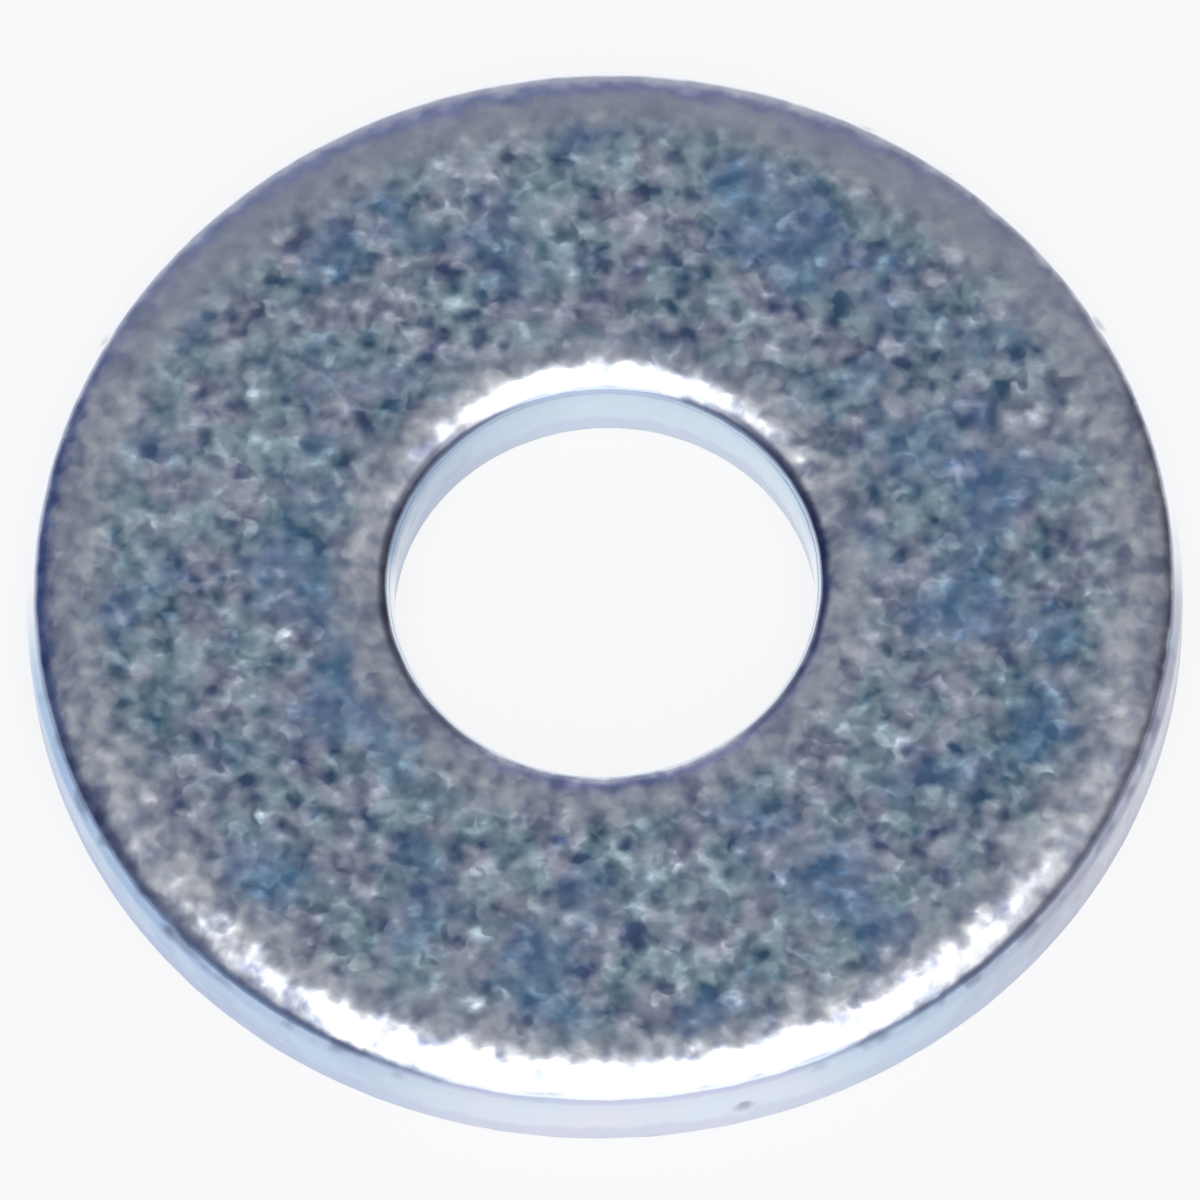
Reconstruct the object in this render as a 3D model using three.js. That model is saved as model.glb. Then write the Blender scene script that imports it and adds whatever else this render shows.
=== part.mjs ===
// Flat washer, large series, for an M8 bolt: a ring blanked and pierced from steel strip in one
// stroke. Both edges of the upper face are drawn down by the stroke, in a wide shallow roll that
// ends in a small round corner, and the edges of the underside are left square.
// Units are millimetres. +Z runs along the washer's axis, and the underside lies on z = 0.

import * as THREE from 'three';

// Driving dimensions
const OUTSIDE_DIAMETER = 23.6;
const HOLE_DIAMETER = 8.6;
const THICKNESS = 1.85;

const RIM_ROLL_LENGTH = 1.1;    // length of the slope between the flat and the corner
const RIM_ROLL_DROP = 0.18;     // fall of the face over that length
const RIM_CORNER_RADIUS = 0.4;
const HOLE_ROLL_LENGTH = 0.8;
const HOLE_ROLL_DROP = 0.13;
const HOLE_CORNER_RADIUS = 0.3;

// Fineness of the faceted solid
const SIDES = 96;
const ROLL_STEPS = 4;
const CORNER_STEPS = 4;

const ZINC_COLOUR = 0x8791a2;
const ZINC_ROUGHNESS = 0.34;
const ZINC_METALNESS = 1.0;

// One drawn-down edge of the upper face, from the flat to the upright wall. The slope is a parabola
// that leaves the flat without a break, and the corner is an arc that runs from the slope's end
// into the wall. toWall is +1 at the rim, where the wall is further out than the flat, and -1 at
// the hole.
function rolledEdge(wallRadius, toWall, rollLength, rollDrop, cornerRadius) {
  const slopeAngle = Math.atan((2 * rollDrop) / rollLength);
  const cornerWidth = cornerRadius * (1 - Math.sin(slopeAngle));
  const flatEnd = wallRadius - toWall * (rollLength + cornerWidth);
  const centreRadius = wallRadius - toWall * cornerRadius;
  const centreHeight = THICKNESS - rollDrop - cornerRadius * Math.cos(slopeAngle);

  const points = [];
  for (let step = 0; step < ROLL_STEPS; step += 1) {
    const share = step / ROLL_STEPS;
    const radius = flatEnd + toWall * rollLength * share;
    points.push(new THREE.Vector2(radius, THICKNESS - rollDrop * share * share));
  }
  for (let step = 0; step <= CORNER_STEPS; step += 1) {
    const angle = slopeAngle + (Math.PI / 2 - slopeAngle) * (step / CORNER_STEPS);
    const radius = centreRadius + toWall * cornerRadius * Math.sin(angle);
    points.push(new THREE.Vector2(radius, centreHeight + cornerRadius * Math.cos(angle)));
  }
  return points;
}

// The washer's section, anticlockwise with radius to the right and height up, closed on itself.
function washerSection() {
  const rimRadius = OUTSIDE_DIAMETER / 2;
  const holeRadius = HOLE_DIAMETER / 2;
  const rimEdge = rolledEdge(rimRadius, 1, RIM_ROLL_LENGTH, RIM_ROLL_DROP, RIM_CORNER_RADIUS);
  const holeEdge = rolledEdge(holeRadius, -1, HOLE_ROLL_LENGTH, HOLE_ROLL_DROP, HOLE_CORNER_RADIUS);
  return [
    new THREE.Vector2(holeRadius, 0),
    new THREE.Vector2(rimRadius, 0),
    ...rimEdge.reverse(),
    ...holeEdge,
    new THREE.Vector2(holeRadius, 0),
  ];
}

function makeWasher() {
  const geometry = new THREE.LatheGeometry(washerSection(), SIDES);
  const material = new THREE.MeshStandardMaterial({
    color: ZINC_COLOUR,
    roughness: ZINC_ROUGHNESS,
    metalness: ZINC_METALNESS,
  });
  const washer = new THREE.Mesh(geometry, material);
  washer.name = 'washer';
  washer.rotation.x = Math.PI / 2;    // the lathe turns about Y, and the washer's axis is Z
  return washer;
}

const flatWasher = new THREE.Group();
flatWasher.add(makeWasher());

export default flatWasher;
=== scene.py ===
"""Flat washer in zinc-plated steel: the stamped ring with its real surface, round the CAD frame."""

import math

import bpy
from mathutils import Matrix, Vector


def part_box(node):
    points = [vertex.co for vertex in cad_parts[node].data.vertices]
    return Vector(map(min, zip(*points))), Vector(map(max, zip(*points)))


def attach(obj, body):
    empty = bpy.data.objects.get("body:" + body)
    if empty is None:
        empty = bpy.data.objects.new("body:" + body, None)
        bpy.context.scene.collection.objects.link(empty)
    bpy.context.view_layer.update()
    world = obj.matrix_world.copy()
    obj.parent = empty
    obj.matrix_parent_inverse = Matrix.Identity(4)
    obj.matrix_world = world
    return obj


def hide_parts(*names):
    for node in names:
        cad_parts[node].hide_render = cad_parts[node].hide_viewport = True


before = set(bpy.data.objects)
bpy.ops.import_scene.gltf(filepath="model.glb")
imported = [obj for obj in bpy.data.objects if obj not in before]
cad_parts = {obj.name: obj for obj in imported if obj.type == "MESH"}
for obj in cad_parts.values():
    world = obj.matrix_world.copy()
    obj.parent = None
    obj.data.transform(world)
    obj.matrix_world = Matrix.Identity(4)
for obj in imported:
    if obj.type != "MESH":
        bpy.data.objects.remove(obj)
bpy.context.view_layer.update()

MM = 0.001

# The overall sizes come from the CAD node. The drawn-down upper edges have the CAD part's shape.
NODE = "washer"
ring_low, ring_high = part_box(NODE)
RIM_RADIUS = ring_high.x
THICKNESS = ring_high.z
HOLE_RADIUS = min(v.co.xy.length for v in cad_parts[NODE].data.vertices)
RIM_EDGE = {"roll_length": 1.1 * MM, "roll_drop": 0.18 * MM, "corner_radius": 0.4 * MM}
HOLE_EDGE = {"roll_length": 0.8 * MM, "roll_drop": 0.13 * MM, "corner_radius": 0.3 * MM}
FOOT_RADIUS = 0.04 * MM      # the square lower edges, dulled by tumbling

# Fineness of the mesh: the spacing of its rows along the section, and its columns round the ring
FACE_SPACING = 0.12 * MM
UNDERSIDE_SPACING = 0.15 * MM
WALL_SPACING = 0.1 * MM
CORNER_ROWS = 7
FOOT_ROWS = 3
COLUMNS = 600
SEAM_GAP = 0.001 * MM        # the first and the last column are welded across less than this

# Relief of the surface, all cut into the nominal shape
GRAIN_PITCH = 0.5 * MM
GRAIN_DEPTH = 0.035 * MM
GRAIN_SMOOTHED = 0.7         # share of the grain's depth that drawing the face down took away
TEAR_PITCH = 0.22 * MM
TEAR_STRETCH = 0.45          # below 1, the tears are longer up the wall than along it
TEAR_LINE_PITCH = 0.9 * MM
TEAR_LINE_WANDER = 1.6       # how far the tear line rises and falls, as a share of its height
TEAR_FLOOR = 0.3             # the shallowest tears, as a share of the deepest
TEAR_DEPTH = 0.03 * MM
TEAR_SHARE = 0.42            # share of the wall's height that was torn and not sheared
NICKS = [                    # dents in the rim: degrees from +X, share of height, width, depth
    (27.0, 0.86, 0.30 * MM, 0.045 * MM),
    (50.0, 0.90, 0.22 * MM, 0.030 * MM),
    (59.5, 0.88, 0.24 * MM, 0.035 * MM),
    (-79.0, 0.42, 0.30 * MM, 0.060 * MM),
    (148.0, 0.88, 0.24 * MM, 0.030 * MM),
    (-142.0, 0.80, 0.30 * MM, 0.030 * MM),
]
SEED = 7.3


# ------------------------------------------------------------------ node trees

class Wire:
    """One output of a node. Arithmetic on it adds Math nodes to its tree."""

    def __init__(self, tree, socket):
        self.tree = tree
        self.socket = socket

    def __add__(self, other):
        return self.tree.math("ADD", self, other)

    def __sub__(self, other):
        return self.tree.math("SUBTRACT", self, other)

    def __rsub__(self, other):
        return self.tree.math("SUBTRACT", other, self)

    def __mul__(self, other):
        return self.tree.math("MULTIPLY", self, other)

    def __truediv__(self, other):
        return self.tree.math("DIVIDE", self, other)

    def __mod__(self, other):
        return self.tree.math("MODULO", self, other)

    __radd__ = __add__
    __rmul__ = __mul__

    def step(self, start, end):
        """A smooth rise from 0 at start to 1 at end, which may be the lower of the two."""
        low, high = min(start, end), max(start, end)
        sockets = {"Value": self, "From Min": low, "From Max": high}
        if start > end:
            sockets.update({"To Min": 1.0, "To Max": 0.0})
        return self.tree.node("ShaderNodeMapRange", {"interpolation_type": "SMOOTHSTEP"}, sockets)


class Tree:
    """A node tree that is being built."""

    def __init__(self, node_tree):
        self.nodes = node_tree.nodes
        self.links = node_tree.links
        self.nodes.clear()

    def node(self, kind, settings=None, sockets=None, output=0):
        """Adds a node: its settings first, then its sockets' values or links. Returns one output."""
        made = self.nodes.new(kind)
        for name, value in (settings or {}).items():
            setattr(made, name, value)
        for name, value in (sockets or {}).items():
            if isinstance(value, Wire):
                self.links.new(value.socket, made.inputs[name])
            else:
                made.inputs[name].default_value = value
        return Wire(self, made.outputs[output]) if len(made.outputs) else None

    def math(self, operation, *values):
        """A Math node, which both shader and geometry trees take."""
        return self.node("ShaderNodeMath", {"operation": operation}, dict(enumerate(values)))

    def mix(self, factor, first, second):
        """The colour first where factor is 0, and second where it is 1."""
        return self.node("ShaderNodeMix", {"data_type": "RGBA"}, {0: factor, 6: first, 7: second}, 2)

    def split(self, vector):
        return [self.node("ShaderNodeSeparateXYZ", None, {0: vector}, axis) for axis in range(3)]

    def join(self, x, y, z):
        return self.node("ShaderNodeCombineXYZ", None, {0: x, 1: y, 2: z})

    def vector(self, operation, first, second, output=0):
        settings = {"operation": operation}
        return self.node("ShaderNodeVectorMath", settings, {0: first, 1: second}, output)

    def scaled(self, vector, factor):
        sockets = {0: vector, "Scale": factor}
        return self.node("ShaderNodeVectorMath", {"operation": "SCALE"}, sockets)

    def noise(self, vector, pitch, seed, detail=2.0, roughness=0.5, output="Fac"):
        """Noise about 0.5, from 0 to 1, with its lumps about pitch apart."""
        sockets = {"Vector": vector, "W": seed, "Scale": 1 / pitch}
        sockets.update({"Detail": detail, "Roughness": roughness})
        return self.node("ShaderNodeTexNoise", {"noise_dimensions": "4D"}, sockets, output)


# ------------------------------------------------------------------ the ring

def spaced(start, end, spacing):
    """Points from start towards end, without end itself, about spacing apart."""
    steps = max(1, round(math.dist(start, end) / spacing))
    return [tuple(a + (b - a) * step / steps for a, b in zip(start, end)) for step in range(steps)]


def arc(centre, radius, first, last, rows):
    """Points on an arc, ends included, at angles in degrees from the outward direction."""
    angles = [math.radians(first + (last - first) * row / rows) for row in range(rows + 1)]
    return [(centre[0] + radius * math.cos(a), centre[1] + radius * math.sin(a)) for a in angles]


def upper_edge(wall, to_wall, roll_length, roll_drop, corner_radius):
    """Points from the wall up to the flat. to_wall is 1 at the rim and -1 at the hole."""
    slope = math.atan(2 * roll_drop / roll_length)
    centre_radius = wall - to_wall * corner_radius
    centre_height = THICKNESS - roll_drop - corner_radius * math.cos(slope)
    corner = arc((0, centre_height), corner_radius, 0, 90 - math.degrees(slope), CORNER_ROWS)
    points = [(centre_radius + to_wall * reach, height) for reach, height in corner]
    roll_start = points[-1][0]
    rows = round(roll_length / FACE_SPACING)
    for row in range(1, rows + 1):
        share = 1 - row / rows
        radius = roll_start - to_wall * roll_length * (1 - share)
        points.append((radius, THICKNESS - roll_drop * share ** 2))
    return points


def section_points():
    """The ring's section as (radius, height), anticlockwise from the foot of the hole's wall."""
    rim_edge = upper_edge(RIM_RADIUS, 1, **RIM_EDGE)
    hole_edge = upper_edge(HOLE_RADIUS, -1, **HOLE_EDGE)[::-1]
    rim_foot = arc((RIM_RADIUS - FOOT_RADIUS, FOOT_RADIUS), FOOT_RADIUS, -90, 0, FOOT_ROWS)
    hole_foot = arc((HOLE_RADIUS + FOOT_RADIUS, FOOT_RADIUS), FOOT_RADIUS, 180, 270, FOOT_ROWS)
    return [
        *spaced(hole_foot[-1], rim_foot[0], UNDERSIDE_SPACING),
        *rim_foot[:-1],
        *spaced(rim_foot[-1], rim_edge[0], WALL_SPACING),
        *rim_edge[:-1],
        *spaced(rim_edge[-1], hole_edge[0], FACE_SPACING),
        *hole_edge[:-1],
        *spaced(hole_edge[-1], hole_foot[0], WALL_SPACING),
        *hole_foot[:-1],
    ]


def edge_width(roll_length, roll_drop, corner_radius):
    """Width of a drawn-down edge, from the wall to where the face is flat."""
    return roll_length + corner_radius * (1 - math.sin(math.atan(2 * roll_drop / roll_length)))


def wall_height(roll_length, roll_drop, corner_radius):
    """Height at which the wall ends and the corner above it starts."""
    return THICKNESS - roll_drop - corner_radius * math.cos(math.atan(2 * roll_drop / roll_length))


RIM_EDGE_WIDTH = edge_width(**RIM_EDGE)
HOLE_EDGE_WIDTH = edge_width(**HOLE_EDGE)
WALL_HEIGHT = wall_height(**RIM_EDGE)


def washer_tree(material):
    """Geometry nodes: turns a section about the axis, then cuts the surface's relief into it."""
    made = bpy.data.node_groups.new("stamped_washer", "GeometryNodeTree")
    sizes = {
        "Rim Radius": RIM_RADIUS,
        "Hole Radius": HOLE_RADIUS,
        "Rim Edge Width": RIM_EDGE_WIDTH,
        "Hole Edge Width": HOLE_EDGE_WIDTH,
        "Wall Height": WALL_HEIGHT,
        "Tear Height": WALL_HEIGHT * TEAR_SHARE,
        "Grain Depth": GRAIN_DEPTH,
        "Tear Depth": TEAR_DEPTH,
        "Columns": float(COLUMNS),
        "Seed": SEED,
    }
    made.interface.new_socket("Section", in_out="INPUT", socket_type="NodeSocketGeometry")
    identifiers = {}
    for name, value in sizes.items():
        socket = made.interface.new_socket(name, in_out="INPUT", socket_type="NodeSocketFloat")
        identifiers[socket.identifier] = value
    made.interface.new_socket("Ring", in_out="OUTPUT", socket_type="NodeSocketGeometry")

    tree = Tree(made)
    inputs = tree.nodes.new("NodeGroupInput")
    given = {socket.name: Wire(tree, socket) for socket in inputs.outputs}
    position = tree.node("GeometryNodeInputPosition")
    index = tree.node("GeometryNodeInputIndex")

    # The section turned into a ring: one column of points for each direction round the axis
    rows = tree.node("GeometryNodeAttributeDomainSize", {"component": "MESH"}, {0: given["Section"]})
    grid_sockets = {"Vertices X": given["Columns"] + 1, "Vertices Y": rows + 1}
    grid = tree.node("GeometryNodeMeshGrid", None, grid_sockets)
    row = (index % (rows + 1)) % rows
    column = tree.math("FLOOR", index / (rows + 1))
    turn = column / given["Columns"] * math.tau
    sampled = tree.node(
        "GeometryNodeSampleIndex",
        {"data_type": "FLOAT_VECTOR", "domain": "POINT"},
        {"Geometry": given["Section"], "Value": position, "Index": row},
    )
    reach, _, height = tree.split(sampled)
    place = tree.join(reach * tree.math("COSINE", turn), reach * tree.math("SINE", turn), height)
    ring = tree.node("GeometryNodeSetPosition", None, {"Geometry": grid, "Position": place})
    ring = tree.node("GeometryNodeMergeByDistance", None, {"Geometry": ring, "Distance": SEAM_GAP})

    # Where the stroke drew the face down, and where it sheared or tore the walls
    x, y, z = tree.split(position)
    radius = tree.vector("LENGTH", tree.join(x, y, 0.0), (0, 0, 0), "Value")
    over_wall = (z - given["Wall Height"]) / MM
    upper = over_wall.step(-0.1, 0.0)
    rim_drawn = (radius - given["Rim Radius"]) / given["Rim Edge Width"] + 1.0
    hole_drawn = (given["Hole Radius"] - radius) / given["Hole Edge Width"] + 1.0
    drawn = tree.math("MAXIMUM", rim_drawn, hole_drawn) * upper
    wall = z.step(0.0, FOOT_RADIUS) * over_wall.step(0.2, 0.04)
    wander = tree.noise(tree.join(x, y, 0.0), TEAR_LINE_PITCH, given["Seed"], 3.0, 0.6)
    tear_line = given["Tear Height"] * (wander * TEAR_LINE_WANDER + 1.0 - TEAR_LINE_WANDER / 2)
    torn = ((z - tear_line) / MM).step(0.12, -0.12) * wall

    # The relief: grain on the faces, a torn foot on the walls, and a few dents in the rim
    grain = tree.noise(position, GRAIN_PITCH, given["Seed"] + 1.0, 1.0, 0.4)
    upright = tree.vector("MULTIPLY", position, (1, 1, TEAR_STRETCH))
    tear = tree.noise(upright, TEAR_PITCH, given["Seed"] + 2.0)
    rough_share = 1.0 - drawn.step(-0.1, 0.6) * GRAIN_SMOOTHED
    face_depth = grain * given["Grain Depth"] * rough_share * (1.0 - wall)
    wall_depth = torn * (tear * (1.0 - TEAR_FLOOR) + TEAR_FLOOR) * given["Tear Depth"]
    depth = face_depth + wall_depth
    dented = 0.0
    for angle, height_share, width, nick_depth in NICKS:
        direction = Vector((math.cos(math.radians(angle)), math.sin(math.radians(angle)), 0))
        centre = direction * RIM_RADIUS + Vector((0, 0, THICKNESS * height_share))
        away = tree.vector("DISTANCE", position, tuple(centre), "Value")
        dent = (away / width).step(1.0, 0.15)
        depth = depth + dent * nick_depth
        dented = tree.math("MAXIMUM", dented, dent)

    named = {"drawn": drawn, "wall": wall, "torn": torn, "dented": dented}
    for name, value in named.items():
        sockets = {"Geometry": ring, "Name": name, "Value": value}
        ring = tree.node("GeometryNodeStoreNamedAttribute", {"data_type": "FLOAT"}, sockets)
    normal = tree.node("GeometryNodeInputNormal")
    inward = tree.scaled(normal, depth * -1.0)
    ring = tree.node("GeometryNodeSetPosition", None, {"Geometry": ring, "Offset": inward})
    ring = tree.node("GeometryNodeSetShadeSmooth", None, {"Geometry": ring})
    ring = tree.node("GeometryNodeRealizeInstances", None, {"Geometry": ring})
    ring = tree.node("GeometryNodeSetMaterial", None, {"Geometry": ring, "Material": material})
    tree.node("NodeGroupOutput", None, {"Ring": ring})
    return made, identifiers


def make_washer(material):
    """The washer as a mesh object, with the geometry nodes' result baked in."""
    points = section_points()
    section = bpy.data.meshes.new("washer_section")
    vertices = [(radius, 0, height) for radius, height in points]
    edges = [(i, (i + 1) % len(points)) for i in range(len(points))]
    section.from_pydata(vertices, edges, [])
    turned = bpy.data.objects.new("washer_section", section)
    bpy.context.scene.collection.objects.link(turned)

    made, identifiers = washer_tree(material)
    modifier = turned.modifiers.new("stamped_washer", "NODES")
    modifier.node_group = made
    for identifier, value in identifiers.items():
        modifier[identifier] = value
    evaluated = turned.evaluated_get(bpy.context.evaluated_depsgraph_get())
    mesh = bpy.data.meshes.new_from_object(evaluated)
    bpy.data.objects.remove(turned)

    washer = bpy.data.objects.new("flat_washer", mesh)
    bpy.context.scene.collection.objects.link(washer)
    return washer


# ------------------------------------------------------------------ the finish

# How far apart the marks in the finish lie
SPECKLE_PITCH = 0.38 * MM
CRYSTAL_PITCH = 0.31 * MM
CROOKED_PITCH = 0.3 * MM
CROOKED_REACH = 0.5 * MM     # how far the crystals' outlines are pulled about
CLOUD_PITCH = 0.95 * MM
DRIFT_PITCH = 2.2 * MM
RAGGED_PITCH = 0.6 * MM      # the ragged line where the grain gives way to a smooth band
# The gaps in the painted shade along the rim's corner lie this far apart
CORNER_SHADE_PITCH = 0.7 * MM
FINE_PITCH = 0.26 * MM
DRAG_PITCH = 0.12 * MM       # the tool's upright scratches on the walls
DRAG_STRETCH = 0.04

# What moves a grain between its dark colour at 0 and its light one at 1
SPECKLE_CONTRAST = 2.1
SPARKLE_CONTRAST = 0.5
DRIFT_CONTRAST = 0.5
DARKEST_DRIFT = 0.32

# Shares that one colour covers of another, where it is strongest
BLUE_SHARE = 0.52
TINT_SHARE = 0.25
TORN_SHARE = 0.4
# Painted shade: the dark line beside the hole, the broken dark line along the rim's corner, and the
# dents
HOLE_SHADE_SHARE = 0.65
CORNER_SHADE_SHARE = 0.5
DENT_SHADE_SHARE = 0.55

# Roughness of the smooth bands, and what the grain and the torn metal add to it
BAND_ROUGHNESS = 0.20
GRAIN_ROUGHNESS = 0.06
TORN_ROUGHNESS = 0.12

# How far the grains and the crystals lean, and how much of it the smooth bands lose
GRAIN_LEAN = 0.26
GRAIN_LEAN_LOST = 0.16
CRYSTAL_LEAN = 0.02
CRYSTAL_LEAN_ON_GRAIN = 0.09

# Heights of the finest relief
FINE_HEIGHT = 0.003 * MM
GRAIN_HEIGHT = 0.004 * MM
TORN_HEIGHT = 0.02 * MM
DRAG_HEIGHT = 0.006 * MM

# Colours of the plating, and painted light: the walls' colours that change with the side they face
# are painted reflections, and there is a painted highlight and painted shade. Those in pairs are the
# dark and the light of the same part.
GREEN_GREY = ((0.08, 0.185, 0.285, 1), (0.60, 0.77, 0.83, 1))
LILAC_GREY = ((0.12, 0.16, 0.305, 1), (0.72, 0.745, 0.85, 1))
BLUE_DRIFT = (0.20, 0.39, 0.66, 1)
SMOOTH_BAND = ((0.40, 0.44, 0.58, 1), (0.94, 0.965, 1.0, 1))
RIM_WALL_NEAR = (0.77, 0.80, 0.90, 1)
# Painted reflections in the walls, by the side they face: bluer at the sides, blue on the left,
# lilac on the right, pale on the far side
RIM_WALL_SIDES_REFLECTION = (0.52, 0.63, 0.79, 1)
RIM_WALL_LEFT_REFLECTION = (0.38, 0.51, 0.73, 1)
RIM_WALL_RIGHT_REFLECTION = (0.41, 0.41, 0.51, 1)
RIM_WALL_FAR_REFLECTION = (0.92, 0.94, 0.97, 1)
# Painted reflection in the hole's wall: darker and bluer on the left
HOLE_WALL_LEFT_REFLECTION = (0.38, 0.46, 0.60, 1)
HOLE_WALL = (0.63, 0.73, 0.85, 1)
WALL_TINT = (0.60, 0.80, 0.90, 1)
TORN_METAL = (0.56, 0.57, 0.74, 1)
# A painted highlight, and the painted shade of the dark lines and the dents
PAINTED_HIGHLIGHT = (0.95, 0.97, 1.0, 1)
PAINTED_SHADE = (0.12, 0.13, 0.24, 1)


def zinc_plate():
    """Zinc plating with a clear blue passivate: mottled grain on the faces, smooth where drawn."""
    material = bpy.data.materials.new("zinc_plate")
    material.use_nodes = True
    tree = Tree(material.node_tree)
    place = tree.node("ShaderNodeTexCoord", None, None, "Object")

    def attribute(name):
        return tree.node("ShaderNodeAttribute", {"attribute_name": name}, None, "Fac")

    drawn, wall, torn = attribute("drawn"), attribute("wall"), attribute("torn")
    ragged = tree.noise(place, RAGGED_PITCH, SEED + 3, 2.0)
    smooth_share = (drawn + (ragged - 0.5) * 0.9).step(-0.5, 0.35)
    plain = (1.0 - smooth_share) * (1.0 - wall)

    # Colour: dark to light grains, in slow clouds of the passivate's green-grey and lilac
    cloud = tree.noise(place, CLOUD_PITCH, SEED + 4, 1.0).step(0.33, 0.67)
    grain = tree.noise(place, SPECKLE_PITCH, SEED + 5, 1.0, 0.3)
    crooked = tree.noise(place, CROOKED_PITCH, SEED + 9, 0.0, 0.5, "Color")
    crooked = tree.vector("SUBTRACT", crooked, (0.5, 0.5, 0.5))
    pulled = tree.vector("ADD", place, tree.scaled(crooked, CROOKED_REACH))
    crystals = {"Vector": pulled, "Scale": 1 / CRYSTAL_PITCH, "Smoothness": 0.6}
    crystal = tree.node("ShaderNodeTexVoronoi", {"feature": "SMOOTH_F1"}, crystals, "Color")
    drift = tree.noise(place, DRIFT_PITCH, SEED + 11, 1.0)
    speckle = (grain - 0.5) * SPECKLE_CONTRAST
    sparkle = (tree.split(crystal)[0] - 0.5) * SPARKLE_CONTRAST
    lightness = speckle + sparkle + drift * DRIFT_CONTRAST + DARKEST_DRIFT
    green_grey = tree.mix(lightness, *GREEN_GREY)
    lilac_grey = tree.mix(lightness, *LILAC_GREY)
    shade = tree.mix(cloud, green_grey, lilac_grey)
    shade = tree.mix(drift.step(0.52, 0.3) * BLUE_SHARE, shade, BLUE_DRIFT)

    # The bands drawn smooth, which are more even on the far side of the ring
    x, y, _ = tree.split(place)
    burnished = y.step(0.2 * RIM_RADIUS, 0.7 * RIM_RADIUS)
    band_lightness = (lightness - 0.5) * (1.1 - burnished * 0.75) + 0.5
    band = tree.mix(band_lightness, *SMOOTH_BAND)

    # The sheared walls, with painted reflections by the side they face: blue on the left, lilac on
    # the right, pale at the near and far sides of the rim, and a painted highlight on the hole's
    # near side
    side = x / RIM_RADIUS
    ahead = y / RIM_RADIUS
    rim_wall = tree.mix((side * side).step(0.0, 0.25), RIM_WALL_NEAR, RIM_WALL_SIDES_REFLECTION)
    rim_wall = tree.mix(side.step(-0.4, -0.9), rim_wall, RIM_WALL_LEFT_REFLECTION)
    rim_wall = tree.mix(side.step(0.45, 0.85), rim_wall, RIM_WALL_RIGHT_REFLECTION)
    rim_wall = tree.mix(ahead.step(-0.1, 0.2), rim_wall, RIM_WALL_FAR_REFLECTION)
    hole_wall = tree.mix(side.step(-0.34, 0.0), HOLE_WALL_LEFT_REFLECTION, HOLE_WALL)
    hole_wall = tree.mix(ahead.step(0.1, 0.0), hole_wall, PAINTED_HIGHLIGHT)
    reach = tree.vector("LENGTH", tree.join(x, y, 0.0), (0, 0, 0), "Value")
    at_rim = reach.step(0.5 * RIM_RADIUS, 0.6 * RIM_RADIUS)
    sheared = tree.mix(at_rim, hole_wall, rim_wall)
    sheared = tree.mix(cloud * TINT_SHARE, sheared, WALL_TINT)

    # The faces, with a painted shade line along the sides of the hole's edge, and the corners and
    # walls, with the walls' painted reflections
    corner = drawn.step(0.828, 0.889)
    colour = tree.mix(plain, band, shade)
    hole_shade = drawn.step(0.62, 0.76) * (1.0 - at_rim) * (side * side).step(0.02, 0.08)
    colour = tree.mix(hole_shade * HOLE_SHADE_SHARE, colour, PAINTED_SHADE)
    colour = tree.mix(tree.math("MAXIMUM", wall, corner), colour, sheared)
    colour = tree.mix(torn * TORN_SHARE, colour, TORN_METAL)

    # Painted shade in a broken dark line along the rim's corner, left out at its very front, a
    # painted highlight on its outer edge on the far side, and painted shade in the dents
    corner_shade = tree.noise(place, CORNER_SHADE_PITCH, SEED + 10, 1.0).step(0.5, 0.66)
    corner_shade = corner_shade * drawn.step(0.78, 0.93)
    corner_shade = corner_shade * ahead.step(-0.99, -0.9) * (1.0 - wall) * at_rim
    colour = tree.mix(corner_shade * CORNER_SHADE_SHARE, colour, PAINTED_SHADE)
    far_highlight = corner * ahead.step(-0.2, 0.1) * at_rim
    colour = tree.mix(far_highlight, colour, PAINTED_HIGHLIGHT)
    colour = tree.mix(attribute("dented") * DENT_SHADE_SHARE, colour, PAINTED_SHADE)

    # Roughness: matt grains, smoother bands, and coarse torn metal
    roughness = BAND_ROUGHNESS + plain * GRAIN_ROUGHNESS + torn * TORN_ROUGHNESS

    # Each grain leans its own way, and finer relief lies over it, in metres
    lean = tree.noise(place, SPECKLE_PITCH, SEED + 6, 1.0, 0.3, "Color")
    lean = tree.vector("SUBTRACT", lean, (0.5, 0.5, 0.5))
    lean = tree.scaled(lean, GRAIN_LEAN - drawn.step(0.0, 0.9) * GRAIN_LEAN_LOST)
    facet = tree.vector("SUBTRACT", crystal, (0.5, 0.5, 0.5))
    facet = tree.scaled(facet, CRYSTAL_LEAN + plain * CRYSTAL_LEAN_ON_GRAIN)
    lean = tree.vector("ADD", lean, facet)
    normal = tree.node("ShaderNodeNewGeometry", None, None, "Normal")
    normal = tree.vector("NORMALIZE", tree.vector("ADD", normal, lean), (0, 0, 0))
    fine = tree.noise(place, FINE_PITCH, SEED + 7, 2.0, 0.45)
    upright = tree.vector("MULTIPLY", place, (1, 1, DRAG_STRETCH))
    drag = tree.noise(upright, DRAG_PITCH, SEED + 8, 2.0)
    fine_height = FINE_HEIGHT + plain * GRAIN_HEIGHT + torn * TORN_HEIGHT
    relief = fine * fine_height + drag * wall * DRAG_HEIGHT
    bump = {"Height": relief, "Distance": 1.0, "Strength": 1.0, "Normal": normal}
    bumped = tree.node("ShaderNodeBump", None, bump)

    sockets = {"Base Color": colour, "Metallic": 1.0, "Roughness": roughness, "Normal": bumped}
    surface = tree.node("ShaderNodeBsdfPrincipled", None, sockets)
    tree.node("ShaderNodeOutputMaterial", None, {"Surface": surface})
    return material


# ------------------------------------------------------------------ the studio

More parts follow.
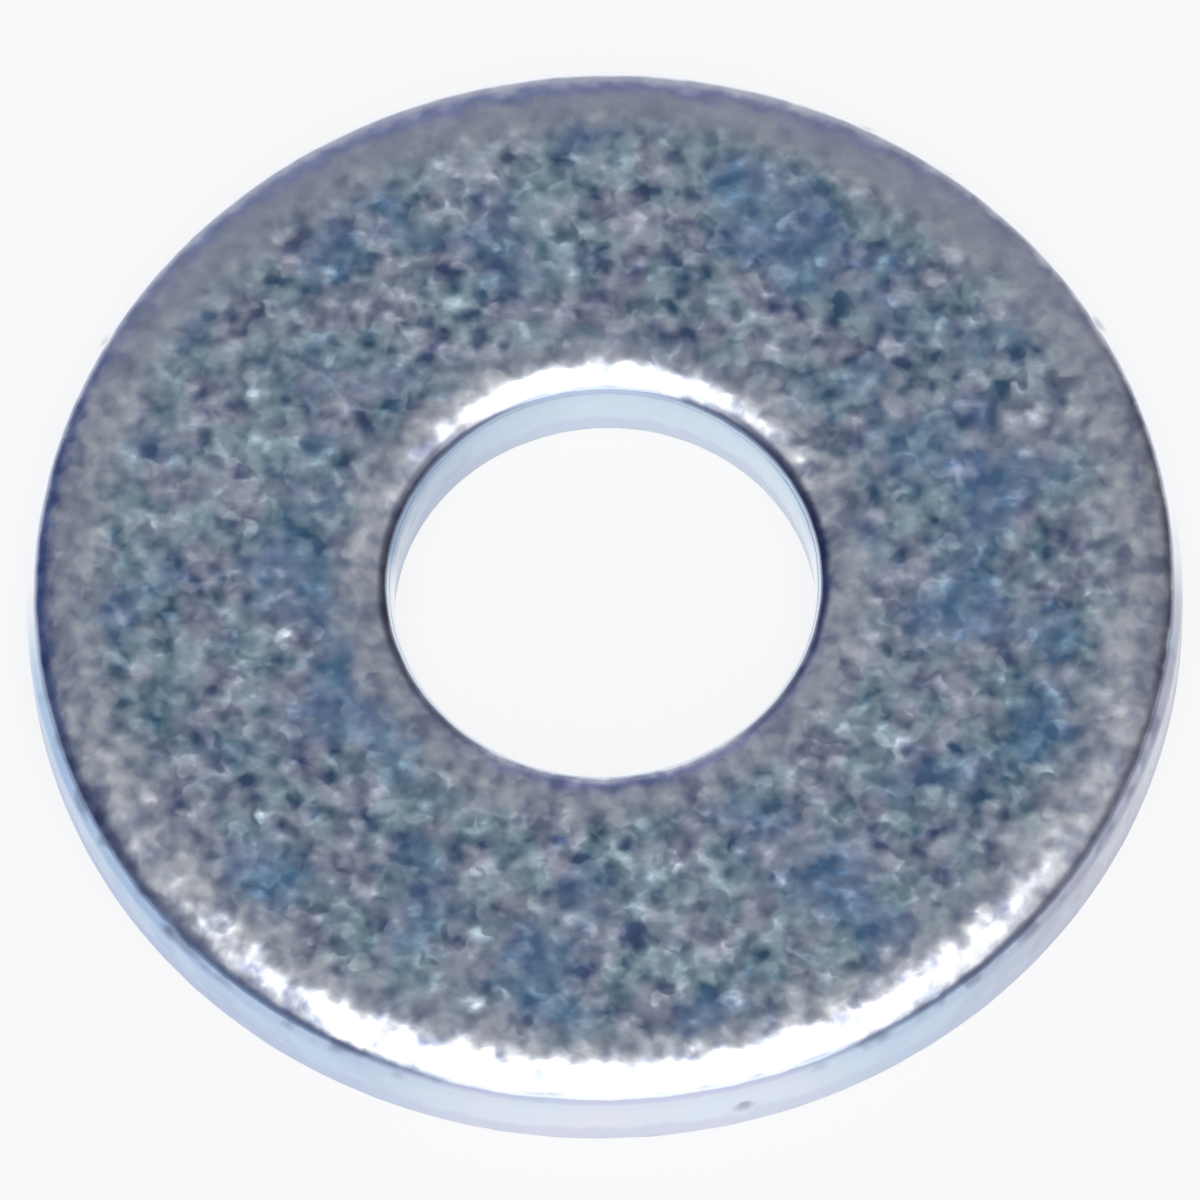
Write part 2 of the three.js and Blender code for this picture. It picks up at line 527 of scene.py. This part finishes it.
FLOOR_HALF_WIDTH = 2.0
FLOOR_GAP = 0.02 * MM             # the floor lies this far under the washer
FLOOR_COLOUR = (0.2, 0.2, 0.2, 1)
FLOOR_GLOW = 0.80
SOFTBOX_HEIGHT = 1.4
SOFTBOX_TARGET = (0.0, -0.18)     # its centre, seen from the washer, as a share of its height
SOFTBOX_SPREAD = (0.68, 0.65)     # its width and depth, as shares of its height
SOFTBOX_POWER = 4.5
CAMERA_ELEVATION = 63.87
CAMERA_ROLL = -3.22
CAMERA_DISTANCE = 0.95
CAMERA_LENS = 1395.0
VIEW_SHIFT = (-0.0099, 0.0315)    # centre of the view right of and above the washer, in rim radii

# Colours of the room. Left, right, far and near are as seen by the camera.
WALL_LEFT_NEAR = (0.15, 0.18, 0.27, 1)
WALL_LEFT = (0.033, 0.05, 0.12, 1)
WALL_LEFT_FAR = (0.025, 0.058, 0.21, 1)
WALL_RIGHT_NEAR = (0.22, 0.22, 0.28, 1)
WALL_RIGHT = (0.07, 0.065, 0.08, 1)
WALL_FAR = (0.20, 0.22, 0.47, 1)
WALL_NEAR = (0.80, 0.79, 0.90, 1)
CEILING_FAR = (0.31, 0.33, 0.385, 1)
CEILING = (0.285, 0.30, 0.33, 1)
CEILING_LIT = (0.385, 0.395, 0.42, 1)
CEILING_BRIGHT = (0.75, 0.75, 0.76, 1)
CEILING_NEAR = (1.3, 1.3, 1.32, 1)
LOW_LEFT = (0.53, 0.545, 0.60, 1)
LOW_RIGHT = (0.51, 0.52, 0.56, 1)
LOW_NEAR = (0.32, 0.33, 0.43, 1)
HORIZON = (1.0, 1.0, 1.02, 1)
CEILING_MIDDLE = 0.05             # the ceiling's middle line lies a little to the right
CEILING_NARROWED = 0.16           # how much nearer the side walls come over the washer
CEILING_WIDENED = 0.25            # and how fast they spread again towards the camera's side
LOWEST_RISE = 0.05                # keeps directions along the floor finite


def make_floor():
    """A floor of white paper that glows, so that hardly a shadow shows on it."""
    w = FLOOR_HALF_WIDTH
    z = -FLOOR_GAP
    mesh = bpy.data.meshes.new("floor")
    mesh.from_pydata([(-w, -w, z), (w, -w, z), (w, w, z), (-w, w, z)], [], [(0, 1, 2, 3)])
    material = bpy.data.materials.new("floor_paper")
    material.use_nodes = True
    tree = Tree(material.node_tree)
    sockets = {
        "Base Color": FLOOR_COLOUR, "Roughness": 1.0, "Specular IOR Level": 0.0,
        "Emission Color": (1, 1, 1, 1), "Emission Strength": FLOOR_GLOW,
    }
    surface = tree.node("ShaderNodeBsdfPrincipled", None, sockets)
    tree.node("ShaderNodeOutputMaterial", None, {"Surface": surface})
    mesh.materials.append(material)
    floor = bpy.data.objects.new("floor", mesh)
    bpy.context.scene.collection.objects.link(floor)
    return floor


def make_softbox():
    """A wide soft light overhead, a little towards the camera."""
    light = bpy.data.lights.new("softbox", "AREA")
    light.shape = "RECTANGLE"
    light.size = SOFTBOX_SPREAD[0] * SOFTBOX_HEIGHT
    light.size_y = SOFTBOX_SPREAD[1] * SOFTBOX_HEIGHT
    light.energy = SOFTBOX_POWER
    softbox = bpy.data.objects.new("softbox", light)
    x, y = SOFTBOX_TARGET
    softbox.location = (x * SOFTBOX_HEIGHT, y * SOFTBOX_HEIGHT, SOFTBOX_HEIGHT)
    softbox.visible_camera = False
    bpy.context.scene.collection.objects.link(softbox)


def make_room():
    """The light of the room: a ceiling, walls from its edge down, and a paler zone low down."""
    world = bpy.data.worlds.new("room")
    world.use_nodes = True
    bpy.context.scene.world = world
    tree = Tree(world.node_tree)
    x, y, z = tree.split(tree.node("ShaderNodeTexCoord", None, None, "Generated"))

    # The walls, painted by direction
    left = tree.mix(y.step(-0.1, 0.2), WALL_LEFT_NEAR, WALL_LEFT)
    left = tree.mix(y.step(0.2, 0.5), left, WALL_LEFT_FAR)
    right = tree.mix(y.step(-0.3, 0.5), WALL_RIGHT_NEAR, WALL_RIGHT)
    walls = tree.mix(x.step(-0.4, 0.4), left, right)
    walls = tree.mix(y.step(0.6, 0.95), walls, WALL_FAR)

    # The ceiling, by a direction's reach along Y and X for each unit that it rises. It grows
    # brighter towards the camera's side, and the side walls start at its edges.
    up = tree.math("MAXIMUM", z, LOWEST_RISE)
    away = y / up
    aside = tree.math("ABSOLUTE", x / up - CEILING_MIDDLE)
    ceiling = tree.mix(away.step(1.2, 0.45), CEILING_FAR, CEILING)
    ceiling = tree.mix(away.step(0.52, 0.34), ceiling, CEILING_LIT)
    ceiling = tree.mix(away.step(0.34, 0.08), ceiling, CEILING_BRIGHT)
    ceiling = tree.mix(away.step(0.0, -0.5), ceiling, CEILING_NEAR)
    narrowed = away.step(0.45, 0.15) * CEILING_NARROWED
    widened = tree.math("MAXIMUM", -0.3 - away, 0.0) * CEILING_WIDENED
    side_wall = (aside + narrowed - widened).step(0.56, 0.80)
    far_wall = away.step(1.0, 1.4)
    beyond = tree.math("MAXIMUM", side_wall, far_wall)
    light = tree.mix(beyond, ceiling, walls)

    # Low down the room is paler, and whitest at the level of the floor and behind the camera
    low = tree.mix(x.step(-0.3, 0.5), LOW_LEFT, LOW_RIGHT)
    low = tree.mix(y.step(0.0, -0.5), low, LOW_NEAR)
    low = tree.mix(z.step(0.34, 0.12), low, HORIZON)
    below = z.step(0.58, 0.46)
    light = tree.mix(below, light, low)
    front = y.step(-0.5, -1.0) * tree.math("MAXIMUM", beyond, below)
    light = tree.mix(front, light, WALL_NEAR)

    background = tree.node("ShaderNodeBackground", None, {"Color": light, "Strength": 1.0})
    tree.node("ShaderNodeOutputWorld", None, {"Surface": background})


def make_camera():
    """A long lens looking down at the washer from the side of -Y."""
    data = bpy.data.cameras.new("camera")
    data.lens = CAMERA_LENS
    data.sensor_width = 36.0
    data.clip_start = 0.01
    camera = bpy.data.objects.new("camera", data)
    tilt = Matrix.Rotation(math.radians(90 - CAMERA_ELEVATION), 3, "X")
    turned = tilt @ Matrix.Rotation(math.radians(CAMERA_ROLL), 3, "Z")
    right, up, back = turned.col
    aim = (right * VIEW_SHIFT[0] + up * VIEW_SHIFT[1]) * RIM_RADIUS
    camera.matrix_world = Matrix.Translation(aim + back * CAMERA_DISTANCE) @ turned.to_4x4()
    bpy.context.scene.collection.objects.link(camera)
    bpy.context.scene.camera = camera


make_camera()
make_floor()
make_softbox()
make_room()
bpy.context.scene.view_settings.view_transform = "Standard"

washer = make_washer(zinc_plate())
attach(washer, "root")
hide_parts(NODE)
